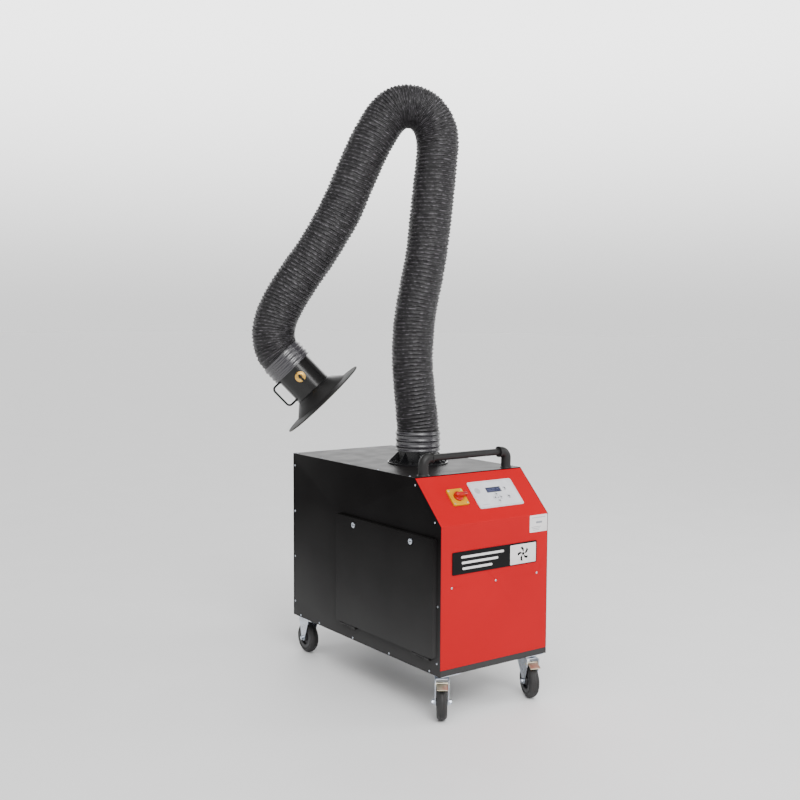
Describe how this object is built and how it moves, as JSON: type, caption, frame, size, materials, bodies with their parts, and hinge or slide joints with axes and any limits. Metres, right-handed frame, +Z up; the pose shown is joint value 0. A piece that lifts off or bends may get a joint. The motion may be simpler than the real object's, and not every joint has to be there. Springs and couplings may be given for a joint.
{
  "type": "mobile fume extractor",
  "caption": "Wheeled filter cabinet with sloping control panel, push handle, side service door and a hose-covered articulated extraction arm with a round hood.",
  "frame": {"origin": "on the floor, under the centre of the whole machine's bounding box", "axes": "+Z up, the control panel faces -Y, the service door faces -X"},
  "size_m": [0.8174, 1.0702, 2.2846],
  "materials": {
    "black_paint": "satin",
    "red_paint": "satin",
    "zinc": "satin",
    "steel": "satin",
    "yellow_zinc": "satin",
    "tyre_rubber": "matte",
    "cuff_rubber": "satin",
    "hose": "matte",
    "black_plastic": "satin",
    "gloss_black": "gloss",
    "white_plastic": "satin",
    "key_plastic": "satin",
    "yellow_plastic": "gloss",
    "red_plastic": "gloss",
    "display": "gloss",
    "filter_media": "matte",
    "hub_plastic": "satin",
    "aluminium": "satin"
  },
  "bodies": {
    "cabinet": {"base_tray": "black_paint", "left_side_panel": "black_paint", "right_side_panel": "black_paint", "rear_panel": "black_paint", "top_cover": "black_paint", "front_panel": "red_paint", "panel_screws": "zinc", "door_gasket": "cuff_rubber", "door_hinges": "zinc", "handle_bar": "steel", "handle_elbows": "black_plastic", "isolator_plate": "yellow_plastic", "keypad_frame": "white_plastic", "keypad_keys": "key_plastic", "display_window": "display", "nameplate": "black_plastic", "inner_frame": "black_paint", "main_filter": "filter_media", "pre_filter": "filter_media", "spark_arrestor": "filter_media", "fan_scroll": "black_paint", "fan_motor": "black_paint", "cable_gland": "black_plastic", "arm_flange": "black_paint", "flange_bolts": "zinc", "castor_plates": "zinc", "rear_forks": "zinc"},
    "door": {"service_door": "black_paint"},
    "latch_front": {"latch_front": "zinc"},
    "latch_rear": {"latch_rear": "zinc"},
    "isolator_knob": {"isolator_knob": "red_plastic"},
    "impeller": {"impeller": "aluminium"},
    "arm_base": {"swivel_collar": "steel", "base_cuff": "cuff_rubber", "hose_shoulder": "hose"},
    "lower_arm": {"lower_link": "aluminium", "hose_lower": "hose", "hose_elbow_low": "hose"},
    "elbow": {"elbow_link": "aluminium", "hose_arch": "hose", "hose_elbow_high": "hose"},
    "upper_arm": {"upper_link": "aluminium", "hose_upper": "hose", "hose_wrist": "hose"},
    "hood": {"hood_tube": "gloss_black", "hood_cuff": "cuff_rubber", "hood_handle": "zinc"},
    "damper": {"damper": "yellow_zinc"},
    "front_left_castor": {"front_fork_left": "zinc"},
    "front_left_pedal": {"brake_pedal_left": "yellow_zinc"},
    "front_left_wheel": {"tyre_front_left": "tyre_rubber", "hub_front_left": "hub_plastic"},
    "front_right_castor": {"front_fork_right": "zinc"},
    "front_right_pedal": {"brake_pedal_right": "yellow_zinc"},
    "front_right_wheel": {"tyre_front_right": "tyre_rubber", "hub_front_right": "hub_plastic"},
    "rear_left_wheel": {"tyre_rear_left": "tyre_rubber", "hub_rear_left": "hub_plastic"},
    "rear_right_wheel": {"tyre_rear_right": "tyre_rubber", "hub_rear_right": "hub_plastic"}
  },
  "joints": [
    {"name": "door_hinge", "type": "hinge", "parent": "cabinet", "child": "door", "pos_m": [-0.1055, -0.1534, 0.216], "axis": [0, -1, 0], "range_deg": [0, 85]},
    {"name": "latch_front_turn", "type": "hinge", "parent": "door", "child": "latch_front", "pos_m": [-0.1095, -0.3424, 0.615], "axis": [1, 0, 0], "range_deg": [0, 90]},
    {"name": "latch_rear_turn", "type": "hinge", "parent": "door", "child": "latch_rear", "pos_m": [-0.1095, 0.0236, 0.615], "axis": [1, 0, 0], "range_deg": [0, 90]},
    {"name": "isolator_turn", "type": "hinge", "parent": "cabinet", "child": "isolator_knob", "pos_m": [0.0415, -0.41776, 0.7706], "axis": [0, -0.7048, 0.7094], "range_deg": [0, 90]},
    {"name": "impeller_spin", "type": "hinge", "parent": "cabinet", "child": "impeller", "pos_m": [0.1565, 0.2186, 0.46], "axis": [0, 1, 0], "continuous": true},
    {"name": "arm_swivel", "type": "hinge", "parent": "cabinet", "child": "arm_base", "pos_m": [0.1565, -0.0234, 0.87], "axis": [0, 0, 1], "continuous": true},
    {"name": "shoulder", "type": "hinge", "parent": "arm_base", "child": "lower_arm", "pos_m": [0.15217, -0.0209, 1.04], "axis": [0.5, 0.866, 0], "range_deg": [-2, 25], "deforming": ["hose_shoulder"]},
    {"name": "elbow_low", "type": "hinge", "parent": "lower_arm", "child": "elbow", "pos_m": [0.21019, -0.0544, 2.075], "axis": [0.5, 0.866, 0], "range_deg": [-2, 25], "deforming": ["hose_elbow_low"]},
    {"name": "elbow_high", "type": "hinge", "parent": "elbow", "child": "upper_arm", "pos_m": [0.01101, 0.0606, 2.085], "axis": [0.5, 0.866, 0], "range_deg": [-2, 30], "deforming": ["hose_elbow_high"]},
    {"name": "wrist", "type": "hinge", "parent": "upper_arm", "child": "hood", "pos_m": [-0.31548, 0.2491, 1.345], "axis": [0.5, 0.866, 0], "range_deg": [-35, 35], "deforming": ["hose_wrist"]},
    {"name": "damper_turn", "type": "hinge", "parent": "hood", "child": "damper", "pos_m": [-0.23766, 0.20417, 1.17943], "axis": [-0.5, -0.866, 0], "range_deg": [0, 90]},
    {"name": "front_left_swivel", "type": "hinge", "parent": "cabinet", "child": "front_left_castor", "pos_m": [-0.0435, -0.4384, 0.15], "axis": [0, 0, 1], "continuous": true},
    {"name": "front_left_roll", "type": "hinge", "parent": "front_left_castor", "child": "front_left_wheel", "pos_m": [-0.06567, -0.46926, 0.0625], "axis": [0.8121, -0.5835, 0], "continuous": true},
    {"name": "front_left_brake", "type": "hinge", "parent": "front_left_castor", "child": "front_left_pedal", "pos_m": [-0.07851, -0.48712, 0.133], "axis": [0.8121, -0.5835, 0], "range_deg": [0, 15]},
    {"name": "front_right_swivel", "type": "hinge", "parent": "cabinet", "child": "front_right_castor", "pos_m": [0.3565, -0.4384, 0.15], "axis": [0, 0, 1], "continuous": true},
    {"name": "front_right_roll", "type": "hinge", "parent": "front_right_castor", "child": "front_right_wheel", "pos_m": [0.3435, -0.47411, 0.0625], "axis": [0.9397, -0.342, 0], "continuous": true},
    {"name": "front_right_brake", "type": "hinge", "parent": "front_right_castor", "child": "front_right_pedal", "pos_m": [0.33598, -0.49478, 0.133], "axis": [0.9397, -0.342, 0], "range_deg": [0, 15]},
    {"name": "rear_left_roll", "type": "hinge", "parent": "cabinet", "child": "rear_left_wheel", "pos_m": [-0.0435, 0.4726, 0.0625], "axis": [-1, 0, 0], "continuous": true},
    {"name": "rear_right_roll", "type": "hinge", "parent": "cabinet", "child": "rear_right_wheel", "pos_m": [0.3565, 0.4726, 0.0625], "axis": [-1, 0, 0], "continuous": true}
  ]
}
